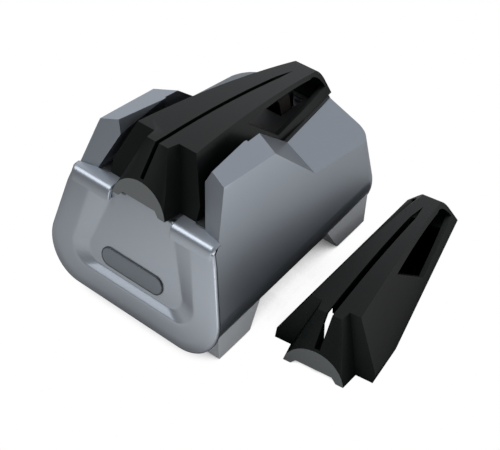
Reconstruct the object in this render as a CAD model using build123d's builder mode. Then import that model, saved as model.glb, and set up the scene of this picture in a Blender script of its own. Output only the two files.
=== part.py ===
from build123d import *
from math import cos, pi, radians, sin, tan
import os

os.makedirs("parts", exist_ok=True)

# Bench-top electric knife sharpener with an abrasive belt, and its spare guide beside it.
# Millimetres, +Z up, the table at z = 0. Front is -Y, and the machine's right side is +X.

# ---- where the machine and the spare guide stand in the frame
machine_x = -48.15           # the machine's centre plane
machine_y = -106.72          # the line where the fascia meets the lip
spare_x = 143.2              # spare guide's front centre, from the machine's centre plane
spare_y = 27.3               # spare guide's front centre, from the lip line
spare_turn = 7.1             # spare guide turned about Z, degrees

# ---- outer form of the machine
lip_z = 112.9                # height of the lip line
lean = 15.5                  # fascia leans back, degrees
form_front_y = -32.0         # stations between which the outer form is ruled
form_rear_y = 206.0
form_top_z = 170.0
front_bottom_z = 15.0        # underside at the front station
rear_bottom_z = 8.0          # underside at the rear station
front_half_width = 71.5      # half widths at the lip line's height, at the two stations
rear_half_width = 63.6
side_flare = 0.228           # how fast the sides widen downwards
bottom_radius = 31.0         # big radius under the sides
rear_y = 202.5               # back wall
corner_radius = 15.0         # vertical radius between back wall and side
upright_share = 0.9          # an edge is upright when this much of its direction is
wall = 3.0                   # moulded wall
overcut = 1.0                # hollows and cutters run this far past what they cut
cut_wide = 600.0             # cutting blocks are larger than the whole machine
cut_long = 900.0

# ---- upstanding side walls and the notch behind them
ridge_in = (46.2, 31.1, 152.3)     # inner front top corner of a side wall
wall_fall = 0.15                   # wall top falls towards the back
wall_slope = 0.27                  # wall top falls outwards
facet_foot = (53.8, 12.4, 114.4)   # foot of the wall's front facet
facet_lean = 0.449                 # facet leans back
facet_sweep = 0.221                # facet comes forward outwards
inner_lean = 0.42                  # inner face of the wall leans in upwards
lead_low = (42.0, 26.7, 142.4)     # lead-in above the inner face: its low front corner
lead_end = (39.9, 75.3, 147.9)     # and where it runs out
jog_y = 77.0                       # small step of the inner face
peak_in = (40.5, 91.5, 144.5)      # top of the notch's front face
notch_lean = 1.0
notch_sweep = 0.53
rest_corner = (71.0, 121.4, 97.0)  # outer front corner of the slanted blade rest
rest_fall = 0.1985                 # rest falls towards the back
rest_slope = 0.413                 # rest falls outwards
pocket_jog = (41.6, 78.3)          # edge of the guide's pocket behind the jog, in plan
pocket_mid = (38.8, 128.7)
pocket_end = (26.0, 202.5)

# ---- fascia
fascia_half_width = 72.0           # at the lip line
fascia_flare = 0.25                # widens downwards, along the fascia
fascia_long = 101.5                # down the fascia
fascia_radius = 33.0
rim_thick = 3.5                    # rim that overlaps the housing's front edge
plug_thick = 8.0                   # whole thickness, with the part inside the housing
recess_depth = 4.6
recess_top = (51.5, -9.0)          # outer edge of the U recess: under the lip, and at its lower corner
recess_low = (68.0, -80.3)
recess_radius = 17.0
panel_top = (31.0, -8.0)           # inner edge of the U recess
panel_low = (55.0, -72.4)
panel_radius = 13.0
tab_half = 15.0                    # tab that locates the guide's front
tab_foot_half = 19.0
tab_rise = 4.0
lip_inner = 30.8                   # inner end of each lip
lip_crest_y = 4.4                  # the roll starts here: its radius, how far round it goes, whole height
lip_roll = 6.0
lip_roll_turn = 68.0
lip_deep = 11.3
lip_root = 3.0                     # the lip reaches this far into the rim
lip_top_z = 113.3
flange_front = -6.0                # flange in plan: front edge, back edge, step, corner
flange_back = 13.6
flange_step = (43.2, 11.4)
flange_notch = (45.2, 11.9)
flange_corner = (72.6, 8.3)
panel_half = 30.5                  # top of the panel between the lips
panel_foot = 14.0
panel_rise = 8.0                   # the recess runs out past the top of the panel
badge_size = (66.0, 16.5)
badge_thick = 1.2
badge_w = -59.8                    # badge centre, down the fascia

# ---- guides
guide_y = -1.7                     # front foot of the seated guide, from the lip line
guide_z = 114.2
guide_pitch = 3.35                 # the seat falls towards the back, degrees
guide_length = 208.5
guide_wall = 2.8
guide_room = 60.0                  # cutters are taller than the guide
body_front_p = 2.0                 # first section of the guide's body, and how many there are
body_sections = 5
sloped_wall = 1.15                 # level width of a leaning wall, for its thickness
nose_lean = 10.5                   # lean of the guide's front face, degrees
arch_half = 26.6
arch_rise = 21.9
arch_foot = 1.5                    # the arch springs from this height
nose_p = 23.5                      # nose edge: distance back, height, half width
nose_q = 46.5
nose_half = 10.2
nose_foot_half = 30.1
nose_back_half = 12.6
nose_back_foot = 33.0
nose_back_p = 36.0
nose_run_in = 8.0                  # the nose runs this far into the body
wing_foot_p = 15.8                 # foot of the wing's front face
wing_top = (33.5, 45.6)
wing_side = 43.5                   # upright side facet
flank_p = (57.5, 208.0)            # bottom edge of the flank: two stations and their half widths
flank_x = (43.1, 24.2)
ridge_p = (33.5, 199.0)            # stations of the ridge's half widths
crown_rise = 4.1                   # ridge is crowned this much over its straight line
ridge_end_q = 19.4
tail_radius = 10.0
seated_ridge = (28.9, 11.5)        # half widths of the seated guide's ridge, front and rear
spare_ridge = (21.5, 8.9)          # and of the spare guide's, for a flatter angle
seated_slot = 3.4
spare_slot = 4.8
slot_taper_p = 165.0
slot_end_p = 186.0
rib_thick = 1.8                    # ribs that line the slot inside
rib_deep = 10.0
rib_front = 36.0
face_rib = (1.5, 21.0)             # ribs behind the front face: from, to
face_rib_low = 4.8
web_p = 190.0                      # web that closes the tail underneath starts this far back
web_thick = 2.0
window_top = (97.0, 33.2)          # corners of the side opening, as distance back and height
window_foot = (127.5, 6.5)
window_end = (204.8, 6.0)
window_round = (200.9, 14.1)
window_high = (190.0, 18.4)
window_rim = 4.0                   # rim left between the ridge and the opening
window_from = 7.0                  # the openings are cut from here outwards, from the guide's centre
slot_front_p = 5.5
slot_low_q = 17.0
notch_half = 20.0                  # notch in the front face, over the fascia's tab
notch_top_half = 16.0
notch_rise = 4.6
notch_front = 5.0                  # the notch is cut from before the face to behind it
notch_deep = 12.0
notch_below = 2.0

# ---- where the belt stands, and what is placed from it
belt_to_back = 37.5                # from the middle of the abrasive belt to the back wall's face
belt_y = rear_y - belt_to_back
front_plate_y = belt_y - 19.0      # front faces of the drive frame's two plates
rear_plate_y = belt_y + 16.5
arm_front_y = belt_y + 8.6         # front face of the sliding tension arm
block_front_y = arm_front_y - 1.7  # and of the guide block it slides in
belt_hole_front = belt_y - 11.0    # hole in the deck for the belt and its arm
belt_hole_rear = belt_y + 19.0

# ---- deck and tray under the seated guide
seat_gap = 0.3                     # running gap under the seated guide
tray_thick = 1.6                   # black tray that lines the deck
tray_front_y = 14.4
tray_wide = 52.5
tray_gap = 0.4                     # round the tray
belt_hole_half = 12.0
flange_thick = 1.5                 # fascia's flange over the housing's front shelf
flange_gap = 0.2

# ---- belt drive
belt_wide = 12.7                   # abrasive belt
belt_thick = 1.0
belt_gap = 0.3                     # between the belt and its wheels
drive_z = 46.0
drive_r = 16.0
wheel_wide = 13.5
idler_z = 108.0
idler_r = 6.5
axle_r = 2.0
axle_head_r = 3.5
axle_head = 1.5
axle_over = 0.5                    # axle stands out of the wheel's front
shaft_r = 4.0
shaft_front_y = 34.0
shaft_over = 2.0                   # shaft stands out of the rear plate
bearing_r = 8.0
running = 0.05                     # radial gap of a running fit
push_gap = 0.05                    # gap of a pressed-in part
plate_thick = 5.0                  # drive frame's two plates
plate_half = 20.0
plate_top_z = 66.0
frame_foot_half = 34.0
frame_foot_top = 19.0
frame_margin = 6.0
motor_r = 21.0
motor_front_y = 44.0
motor_back_y = 104.0
motor_shell = 1.5
motor_cap = 6.0
armature_r = 15.0
armature_gap = 6.0
fan_r = 17.0
fan_wide = 6.0
fan_disc = 1.5
fan_hub_r = 7.0
fan_y = 116.0
fan_blades = 9
blade_root = 1.0                   # blades run this far into the hub, and stop short of the rim
blade_short = 0.5
cradle_half = 17.0
cradle_drop = 10.5                 # cradle's top, below the shaft
cradle_short = 18.0                # cradle is this much shorter than the motor
arm_half = 5.0                     # sliding tension arm
arm_thick = 6.0
arm_low_z = 81.0
arm_gap = 0.35
block_half = 9.0                   # guide block of the arm
block_low_z = 65.0
block_top_z = 96.0
block_floor = 1.5
spring_r = 2.2
spring_wire = 0.9
spring_turns = 5

# ---- base, feet, electrics and fasteners
base_thick = 5.0
base_half = 54.0
base_front_y = -14.0
base_rear_y = 194.0
base_gap = 0.2
foot_out = 79.6                    # outer face of the feet
foot_wide = 21.6
foot_high = 34.0                   # tall enough to reach the rounded underside
front_foot = (-8.1, 29.4, 45.9)    # front, rear at the floor, rear at the top
rear_foot = (145.3, 128.6, 184.1, 187.0)
pad_thick = 2.0
pad_margin = 3.0
screw_r = 1.5
screw_gap = 0.1
screw_head_r = 2.9
screw_head = 2.0
screw_long = 9.0
switch_x = 40.0
switch_z = 58.0
bezel_size = (20.0, 20.0)
bezel_flange = 2.0
bezel_rim = 2.0
bezel_deep = 17.0
rocker_r = 7.6
rocker_wide = 10.0
rocker_gap = 0.4
rocker_tilt = 8.0
rocker_dip = 0.8                   # shallow V of the rocker's face: its depth and rise
rocker_flare = 1.6
rocker_in = 3.6                    # rocker's pivot lies this far inside the back wall's face
stub_r = 1.5
stub_long = 1.6
inlet_x = -40.0
inlet_z = 58.0
inlet_r = 8.0
inlet_bore_r = 5.0
inlet_deep = 16.0
inlet_flange_r = 11.0
contact_r = 1.0
board_size = (28.0, 60.0)
board_thick = 1.6
board_x = 38.0
board_y = 74.0
board_z = 26.0
standoff_r = 2.5
standoff_inset = 4.0


def level(z):
    return Plane(origin=(machine_x, machine_y, z), x_dir=(1, 0, 0), z_dir=(0, 0, 1))


def front(y):
    return Plane(origin=(machine_x, machine_y + y, 0), x_dir=(1, 0, 0), z_dir=(0, -1, 0))


def side(x):
    return Plane(origin=(machine_x + x, machine_y, 0), x_dir=(0, 1, 0), z_dir=(1, 0, 0))


def facing(depth):
    """Plane along the fascia, this deep behind its face. Local y runs up the fascia."""
    a = radians(lean)
    where = (machine_x, machine_y + depth * cos(a), lip_z - depth * sin(a))
    return Plane(origin=where, x_dir=(1, 0, 0), z_dir=(0, -cos(a), sin(a)))


def through(point, normal):
    """Cutting plane through a point of the machine. Keep.TOP keeps the normal's side."""
    x, y, z = point
    return Plane(origin=(machine_x + x, machine_y + y, z), z_dir=normal)


def write(part, name):
    part.label = name
    export_step(part, f"parts/{name}.step")


# ---------------------------------------------------------------- guides
def ridge_height(p):
    """Height of the guide's crowned ridge, this far back."""
    first, last = ridge_p
    share = (p - first) / (last - first)
    straight = wing_top[1] + share * (ridge_end_q - wing_top[1])
    return straight + 4 * crown_rise * share * (1 - share)


def along(values, stations, p):
    """Straight run of a value between two stations, carried on past both."""
    share = (p - stations[0]) / (stations[1] - stations[0])
    return values[0] + share * (values[1] - values[0])


def station(seat, p):
    """Upright plane across the guide, this far back. Local y is height."""
    return Plane(origin=seat.origin + seat.y_dir * p, x_dir=seat.x_dir, z_dir=-seat.y_dir)


def beside(seat):
    """Plane on the guide's centre. Local x runs back, local y is height."""
    return Plane(origin=seat.origin, x_dir=seat.y_dir, z_dir=seat.x_dir)


def guide_body(seat, ridge, inset):
    """Wings and flanks: a crowned, tapering trapezoid, drawn in by inset on every side but below."""
    foot = -overcut if inset else 0.0
    lean_in = inset * sloped_wall
    step = (guide_length - body_front_p) / (body_sections - 1)
    with BuildPart() as body:
        for i in range(body_sections):
            p = body_front_p + i * step
            half = along(flank_x, flank_p, p) - lean_in
            top = along(ridge, ridge_p, p) - lean_in
            high = ridge_height(p) - inset
            with BuildSketch(station(seat, p)):
                with BuildLine():
                    Polyline((-half, foot), (half, foot), (top, high), (-top, high), close=True)
                make_face()
        loft()
        # upright side facets, raked wing fronts and a rounded tail
        tail = guide_length - inset
        bend = tail - tail_radius
        tail_q = ridge_height(bend) - inset
        with BuildSketch(beside(seat)):
            with BuildLine():
                Polyline((wing_foot_p + inset, foot), (wing_top[0] + inset, wing_top[1]),
                         (wing_top[0] + inset, guide_room), (bend, guide_room), (bend, tail_q))
                RadiusArc((bend, tail_q), (tail, tail_q - tail_radius), tail_radius)
                Polyline((tail, tail_q - tail_radius), (tail, foot), (wing_foot_p + inset, foot))
            make_face()
        extrude(amount=wing_side - inset, both=True, mode=Mode.INTERSECT)
    return body.part


def guide_nose(seat, inset):
    """Raked half-moon face, and the scoop that runs from its arch up to the nose edge."""
    foot = -overcut if inset else 0.0
    a = radians(nose_lean)
    face = Plane(
        origin=seat.origin + seat.y_dir * inset,
        x_dir=seat.x_dir,
        z_dir=-seat.y_dir * cos(a) + seat.z_dir * sin(a),
    )
    half = arch_half - inset
    rise = arch_rise - inset
    radius = (half**2 + rise**2) / (2 * rise)
    centre = rise - radius
    cheek = (radius**2 - (arch_foot - centre) ** 2) ** 0.5
    with BuildPart() as nose:
        with BuildSketch(face):
            with BuildLine():
                Polyline((-cheek, arch_foot), (-half, foot), (half, foot), (cheek, arch_foot))
                ThreePointArc((cheek, arch_foot), (0, rise), (-cheek, arch_foot))
            make_face()
        nose_end_p = nose_back_p + nose_run_in
        nose_stations = (
            (nose_p + inset, nose_half, nose_foot_half, nose_q),
            (nose_back_p, nose_back_half, nose_back_foot, ridge_height(nose_back_p)),
            (nose_end_p, nose_back_half, nose_back_foot, ridge_height(nose_end_p)),
        )
        for p, top, low, high in nose_stations:
            with BuildSketch(station(seat, p)):
                with BuildLine():
                    Polyline((-low + inset, foot), (low - inset, foot), (top - inset, high - inset),
                             (-top + inset, high - inset), close=True)
                make_face()
        loft(ruled=True)
    return nose.part


def guide_window(seat, hand):
    """Cutter for the opening in one flank: hand is 1 for the right flank and -1 for the left."""
    middle = (window_top[0] + window_high[0]) / 2
    with BuildPart() as window:
        with BuildSketch(beside(seat).offset(hand * window_from)):
            with BuildLine():
                Polyline(window_end, window_foot, window_top)
                ThreePointArc(window_top, (middle, ridge_height(middle) - window_rim), window_high)
                ThreePointArc(window_high, window_round, window_end)
            make_face()
        extrude(amount=hand * guide_room)
    return window.part


def guide_ribs(seat, outer, slot):
    """Ribs beside the blade slot, behind the face and under the ridge, and the web under the tail."""
    low = guide_wall + rib_deep
    middle = (rib_front + slot_taper_p) / 2
    rib_ends = [(p, ridge_height(p) - low) for p in (rib_front, middle, slot_taper_p)]
    with BuildPart() as ribs:
        with BuildSketch(beside(seat)):
            with BuildLine():
                Polyline((face_rib[0], face_rib_low), (face_rib[1], face_rib_low),
                         (face_rib[1], nose_q), (face_rib[0], nose_q), close=True)
            make_face()
            with BuildLine():
                Polyline(rib_ends[0], (rib_front, nose_q), (slot_taper_p, nose_q), rib_ends[2])
                ThreePointArc(rib_ends[2], rib_ends[1], rib_ends[0])
            make_face()
        extrude(amount=slot / 2 + rib_thick, both=True)
        with BuildSketch(seat):
            with Locations((0, (web_p + guide_length) / 2)):
                Rectangle(2 * wing_side, guide_length - web_p)
        extrude(amount=web_thick)
        add(outer, mode=Mode.INTERSECT)
    return ribs.part


def make_guide(name, seat, ridge, slot):
    with BuildPart() as outer_guide:
        add(guide_body(seat, ridge, 0))
        add(guide_nose(seat, 0))
    outer = outer_guide.part
    with BuildPart() as guide:
        add(outer)
        add(guide_body(seat, ridge, guide_wall), mode=Mode.SUBTRACT)
        add(guide_nose(seat, guide_wall), mode=Mode.SUBTRACT)
        add(guide_ribs(seat, outer, slot))
        # blade slot: parallel sides, then a long taper to a point
        with BuildSketch(seat.offset(slot_low_q)):
            with BuildLine():
                Polyline((-slot / 2, slot_front_p), (slot / 2, slot_front_p), (slot / 2, slot_taper_p),
                         (0, slot_end_p), (-slot / 2, slot_taper_p), close=True)
            make_face()
        extrude(amount=guide_room, mode=Mode.SUBTRACT)
        for hand in (-1, 1):
            add(guide_window(seat, hand), mode=Mode.SUBTRACT)
        # notch in the front face
        with BuildSketch(station(seat, -notch_front)):
            with BuildLine():
                Polyline((-notch_half, -notch_below), (notch_half, -notch_below), (notch_half, 0),
                         (notch_top_half, notch_rise), (-notch_top_half, notch_rise), (-notch_half, 0),
                         close=True)
            make_face()
        extrude(amount=-notch_deep, mode=Mode.SUBTRACT)
    write(guide.part, name)


pitch = radians(guide_pitch)
turn = radians(spare_turn)
seat_plane = Plane(
    origin=(machine_x, machine_y + guide_y, guide_z),
    x_dir=(1, 0, 0),
    z_dir=(0, sin(pitch), cos(pitch)),
)
table_plane = Plane(
    origin=(machine_x + spare_x, machine_y + spare_y, 0),
    x_dir=(cos(turn), sin(turn), 0),
    z_dir=(0, 0, 1),
)


# ---------------------------------------------------------------- housing
def region(cuts, grow=0.0):
    """Space bounded by planes. Each cut is a point and a normal that points into the space."""
    with BuildPart(level(0)) as space:
        Box(cut_wide, cut_long, cut_wide)
        for point, normal in cuts:
            length = sum(part**2 for part in normal) ** 0.5
            moved = [place - grow * part / length for place, part in zip(point, normal)]
            split(bisect_by=through(moved, normal), keep=Keep.TOP)
    return space.part


def pocket_side(first, last, outwards):
    """Cut along an upright plane through two points in plan. outwards is 1 or -1 along X."""
    run_x = last[0] - first[0]
    run_y = last[1] - first[1]
    return ((first[0], first[1], 0), (outwards * run_y, -outwards * run_x, 0))


def deck_plane(drop):
    """Point and upward normal of the deck under the seated guide."""
    return ((0, guide_y, guide_z - drop), (0, sin(pitch), cos(pitch)))


def flip(cut):
    """The same cut, with its other side kept."""
    point, normal = cut
    return (point, tuple(-part for part in normal))


def fascia_cut(depth, outwards):
    """Cut along the fascia, this deep behind its face. outwards is 1 to keep what lies before it."""
    plane = facing(depth)
    return (plane.origin - Vector(machine_x, machine_y, 0), plane.z_dir * outwards)


facet = (facet_foot, (-facet_sweep, -1, facet_lean))
wall_top = (ridge_in, (wall_slope, wall_fall, 1))
notch_face = (peak_in, (notch_sweep, 1, notch_lean))
rest = (rest_corner, (rest_slope, rest_fall, 1))
inner_face = (lead_low, (-1, 0, -inner_lean))
lead_across = (Vector(*lead_low) - Vector(*ridge_in)).cross(Vector(*lead_end) - Vector(*ridge_in))
lead = (ridge_in, tuple(lead_across if lead_across.Z > 0 else -lead_across))
deck = deck_plane(seat_gap + tray_thick)
above_lip = ((0, 0, lip_top_z), (0, 0, 1))
before_jog = ((0, jog_y, 0), (0, -1, 0))
after_jog = ((0, jog_y, 0), (0, 1, 0))
in_pocket_mid = pocket_side(pocket_jog, pocket_mid, -1)
in_pocket_end = pocket_side(pocket_mid, pocket_end, -1)


def form_section(y, inset):
    """Section of the machine's outer form at this station, drawn in by inset."""
    stations = (form_front_y, form_rear_y)
    bottom = along((front_bottom_z, rear_bottom_z), stations, y) + inset
    lean_in = inset * (1 + side_flare**2) ** 0.5
    mid = along((front_half_width, rear_half_width), stations, y) - lean_in
    low = mid + side_flare * (lip_z - bottom)
    high = mid + side_flare * (lip_z - form_top_z)
    with BuildSketch(front(y)) as section:
        with BuildLine():
            Polyline((-low, bottom), (low, bottom), (high, form_top_z), (-high, form_top_z), close=True)
        make_face()
        corners = section.vertices().group_by(Axis.Z)[0]
        fillet(corners, bottom_radius - inset)
    return section.sketch


def machine_form(inset):
    """The machine's closed outer form: flared sides, two side walls, notches and blade rests."""
    over = overcut if inset else 0.0
    with BuildPart() as form:
        add(form_section(form_front_y, inset))
        add(form_section(form_rear_y, inset))
        loft(ruled=True)
        with BuildSketch(level(0)):
            with Locations((0, (form_front_y + rear_y - inset) / 2)):
                Rectangle(cut_wide, rear_y - inset - form_front_y)
        extrude(amount=form_top_z + over, mode=Mode.INTERSECT)
        back_edges = form.edges().group_by(Axis.Y)[-1]
        fillet(back_edges.filter_by(lambda edge: abs((edge % 0.5).Z) > upright_share), corner_radius - inset)
        # the right half is cut to shape, then mirrored
        split(bisect_by=side(0), keep=Keep.TOP)
        spaces = (
            (above_lip, facet),
            (wall_top,),
            (lead, deck, before_jog),
            (inner_face, deck, before_jog),
            (in_pocket_mid, in_pocket_end, deck, after_jog),
            (notch_face, rest, flip(in_pocket_mid)),
            (notch_face, rest, flip(in_pocket_end)),
        )
        for cuts in spaces:
            add(region(cuts, inset), mode=Mode.SUBTRACT)
        mirror(about=side(0))
    return form.part


outer_form = machine_form(0)
inner_form = machine_form(wall)


# ---------------------------------------------------------------- fascia
def fascia_outline(plane):
    """Fascia's outline: straight top at the lip line, flared sides, big lower corners."""
    low = fascia_half_width + fascia_flare * fascia_long
    with BuildSketch(plane) as outline:
        with BuildLine():
            Polyline((-low, -fascia_long), (low, -fascia_long), (fascia_half_width, 0),
                     (-fascia_half_width, 0), close=True)
        make_face()
        fillet(outline.vertices().group_by(Axis.Z)[0], fascia_radius)
    return outline.sketch


def tapered_panel(plane, top, low, radius):
    """Outline that widens downwards with rounded lower corners, open past the top."""
    slope = (low[0] - top[0]) / (top[1] - low[1])
    up = panel_rise
    high = top[0] - slope * (up - top[1])
    with BuildSketch(plane) as outline:
        with BuildLine():
            Polyline((-low[0], low[1]), (low[0], low[1]), (high, up), (-high, up), close=True)
        make_face()
        fillet(outline.vertices().group_by(Axis.Z)[0], radius)
    return outline.sketch


def flange_outline(plane, gap):
    """Right-hand flange in plan: it covers the housing's shelf up to the side wall's foot."""
    with BuildSketch(plane) as outline:
        with BuildLine():
            Polyline((lip_inner - gap, flange_front), (lip_inner - gap, flange_back + gap),
                     (flange_step[0] + gap, flange_back + gap), (flange_notch[0] + gap, flange_notch[1] + gap),
                     (facet_foot[0], flange_step[1] + gap), (flange_corner[0], flange_corner[1] + gap),
                     (fascia_half_width, flange_front), close=True)
        make_face()
    return outline.sketch


# the part that plugs into the housing's front opening
plug = machine_form(wall + flange_gap) & region((fascia_cut(plug_thick, 1), fascia_cut(rim_thick, -1)))

# cutter for the U-shaped recess, with chamfered sides
with BuildPart() as recess:
    add(tapered_panel(facing(recess_depth), panel_top, panel_low, panel_radius))
    add(tapered_panel(facing(0), recess_top, recess_low, recess_radius))
    loft()

# flange and rolled lip on the right
roll_turn = radians(lip_roll_turn)
lip_low = (-lip_deep * tan(radians(lean)), lip_top_z - lip_deep)
crest = (lip_crest_y, lip_top_z)
roll_end = (lip_crest_y - lip_roll * sin(roll_turn), lip_top_z - lip_roll * (1 - cos(roll_turn)))
with BuildPart() as lip:
    with BuildSketch(side(lip_inner)):
        with BuildLine():
            Polyline(lip_low, (lip_low[0] + lip_root, lip_low[1]), (lip_root, lip_top_z - flange_thick),
                     (flange_back, lip_top_z - flange_thick), (flange_back, lip_top_z), crest)
            TangentArc(crest, roll_end, tangent=(-1, 0))
            TangentArc(roll_end, lip_low, tangent=(-cos(roll_turn), -sin(roll_turn)))
        make_face()
    extrude(amount=flange_corner[0] - lip_inner)
    add(flange_outline(level(lip_low[1]), 0))
    extrude(amount=lip_deep, mode=Mode.INTERSECT)
    mirror(about=side(0))

with BuildPart() as front_fascia:
    add(fascia_outline(facing(rim_thick)))
    extrude(amount=rim_thick)
    add(plug)
    # top of the panel between the lips, with the tab that locates the guide
    with BuildSketch(facing(plug_thick)):
        with BuildLine():
            Polyline((-panel_half, -panel_foot), (panel_half, -panel_foot), (panel_half, 0),
                     (tab_foot_half, 0), (tab_half, tab_rise), (-tab_half, tab_rise), (-tab_foot_half, 0),
                     (-panel_half, 0), close=True)
        make_face()
    extrude(amount=plug_thick - rim_thick)
    add(recess.part, mode=Mode.SUBTRACT)
    # beside the panel the rolled lips take the place of the top edge
    with BuildSketch(level(lip_top_z - lip_roll)):
        with GridLocations(2 * lip_inner + cut_wide, 0, 2, 1):
            Rectangle(cut_wide, cut_wide)
    extrude(amount=form_top_z, mode=Mode.SUBTRACT)
    add(lip.part)
write(front_fascia.part, "front_fascia")

with BuildPart() as fascia_badge:
    with BuildSketch(facing(recess_depth)):
        with Locations((0, badge_w)):
            SlotOverall(*badge_size)
    extrude(amount=badge_thick)
write(fascia_badge.part, "fascia_badge")

# ---------------------------------------------------------------- housing and base
underside_fall = (front_bottom_z - rear_bottom_z) / (form_rear_y - form_front_y)
base_top = ((0, form_front_y, front_bottom_z + base_thick), (0, underside_fall, 1))


def base_outline(gap):
    with BuildSketch(level(0)) as outline:
        with Locations((0, (base_front_y + base_rear_y) / 2)):
            Rectangle(2 * (base_half - gap), base_rear_y - base_front_y - 2 * gap)
    return outline.sketch


housing_form = outer_form & region((fascia_cut(rim_thick, -1),))

# room for the fascia's flange and the top of its panel
with BuildPart() as fascia_room:
    add(flange_outline(level(lip_top_z - flange_thick - flange_gap), flange_gap))
    extrude(amount=flange_thick + 2 * flange_gap)
    mirror(about=side(0))
    with BuildSketch(facing(plug_thick + flange_gap)):
        with Locations((0, tab_rise - panel_foot / 2)):
            Rectangle(2 * (panel_half + flange_gap), panel_foot + 2 * tab_rise)
    extrude(amount=plug_thick)

with BuildPart() as housing:
    add(housing_form)
    add(inner_form, mode=Mode.SUBTRACT)
    # opening underneath for the base plate
    add(base_outline(0))
    extrude(amount=front_bottom_z + 2 * base_thick, mode=Mode.SUBTRACT)
    add(fascia_room.part, mode=Mode.SUBTRACT)
    # hole in the deck for the belt
    with BuildSketch(level(block_top_z)):
        with Locations((0, (belt_hole_front + belt_hole_rear) / 2)):
            Rectangle(2 * belt_hole_half, belt_hole_rear - belt_hole_front)
    extrude(amount=form_top_z - block_top_z, mode=Mode.SUBTRACT)
    # holes in the back wall for the switch and the power inlet
    with BuildSketch(front(rear_y + overcut)):
        with Locations((switch_x, switch_z)):
            Rectangle(bezel_size[0] + 2 * base_gap, bezel_size[1] + 2 * base_gap)
        with Locations((inlet_x, inlet_z)):
            Circle(inlet_r + base_gap)
    extrude(amount=wall + 2 * overcut, mode=Mode.SUBTRACT)
write(housing.part, "housing")

# black tray on the deck, under the seated guide
tray_top = deck_plane(seat_gap)
with BuildPart() as belt_tray:
    with BuildSketch(level(0)):
        with Locations((tray_wide / 2, (tray_front_y + jog_y - tray_gap) / 2)):
            Rectangle(tray_wide, jog_y - tray_gap - tray_front_y)
        with BuildLine():
            Polyline((0, jog_y - 2 * tray_gap), (pocket_jog[0] - tray_gap, jog_y - 2 * tray_gap),
                     (pocket_mid[0] - tray_gap, pocket_mid[1]),
                     (pocket_end[0] - tray_gap, pocket_end[1] - tray_gap), (0, pocket_end[1] - tray_gap),
                     close=True)
        make_face()
        with Locations((0, (belt_hole_front + belt_hole_rear) / 2)):
            Rectangle(2 * belt_hole_half, belt_hole_rear - belt_hole_front, mode=Mode.SUBTRACT)
    extrude(amount=form_top_z)
    mirror(about=side(0))
    split(bisect_by=through(*tray_top), keep=Keep.BOTTOM)
    split(bisect_by=through(*deck), keep=Keep.TOP)
write(belt_tray.part, "belt_tray")

frame_centre_y = (front_plate_y + rear_plate_y + plate_thick) / 2
frame_long = rear_plate_y + plate_thick - front_plate_y + 2 * frame_margin
screw_grid = (2 * (frame_foot_half - frame_margin), frame_long - frame_margin)
screw_seat_z = front_bottom_z - underside_fall * (frame_centre_y - form_front_y)

with BuildPart() as base_plate:
    add(base_outline(base_gap))
    extrude(amount=front_bottom_z + 2 * base_thick)
    add(outer_form, mode=Mode.INTERSECT)
    split(bisect_by=through(*base_top), keep=Keep.BOTTOM)
    with BuildSketch(level(0)):
        with Locations((0, frame_centre_y)):
            with GridLocations(*screw_grid, 2, 2):
                Circle(screw_r + screw_gap)
    extrude(amount=frame_foot_top, mode=Mode.SUBTRACT)
    with BuildSketch(level(0)):
        with Locations((0, frame_centre_y)):
            with GridLocations(*screw_grid, 2, 2):
                Circle(screw_head_r + screw_gap)
    extrude(amount=screw_seat_z + screw_head + screw_gap, mode=Mode.SUBTRACT)
write(base_plate.part, "base_plate")

with BuildPart() as base_screws:
    with BuildSketch(level(screw_seat_z)):
        with Locations((0, frame_centre_y)):
            with GridLocations(*screw_grid, 2, 2):
                Circle(screw_head_r)
    extrude(amount=screw_head)
    with BuildSketch(level(screw_seat_z + screw_head)):
        with Locations((0, frame_centre_y)):
            with GridLocations(*screw_grid, 2, 2):
                Circle(screw_r)
    extrude(amount=screw_long - screw_head)
write(base_screws.part, "base_screws")

# ---------------------------------------------------------------- feet
front_profile = ((front_foot[0], pad_thick), (front_foot[1], pad_thick), (front_foot[2], foot_high),
                 (front_foot[0], foot_high))
rear_profile = ((rear_foot[0], pad_thick), (rear_foot[2], pad_thick), (rear_foot[3], foot_high),
                (rear_foot[1], foot_high))
feet = (("front", front_profile), ("rear", rear_profile))
for end, profile in feet:
    for hand, sign in (("left", -1), ("right", 1)):
        inner = sign * (foot_out - foot_wide)
        with BuildPart() as foot:
            with BuildSketch(side(inner)):
                with BuildLine():
                    Polyline(*profile, close=True)
                make_face()
            extrude(amount=sign * foot_wide)
            add(outer_form, mode=Mode.SUBTRACT)
        write(foot.part, f"{end}_{hand}_foot")
        pad_from = profile[0][0] + pad_margin
        pad_to = profile[1][0] - pad_margin
        with BuildPart() as pad:
            with BuildSketch(level(0)):
                with Locations((sign * (foot_out - foot_wide / 2), (pad_from + pad_to) / 2)):
                    RectangleRounded(foot_wide - 2 * pad_margin, pad_to - pad_from, pad_margin)
            extrude(amount=pad_thick)
        write(pad.part, f"{end}_{hand}_pad")

# ---------------------------------------------------------------- belt drive
def disc(y_front, y_rear, z, radius, bore=0.0):
    """Plain disc or ring about an axis along the machine."""
    with BuildPart() as made:
        with BuildSketch(front(y_rear)):
            with Locations((0, z)):
                Circle(radius)
                if bore:
                    Circle(bore, mode=Mode.SUBTRACT)
        extrude(amount=y_rear - y_front)
    return made.part


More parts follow.
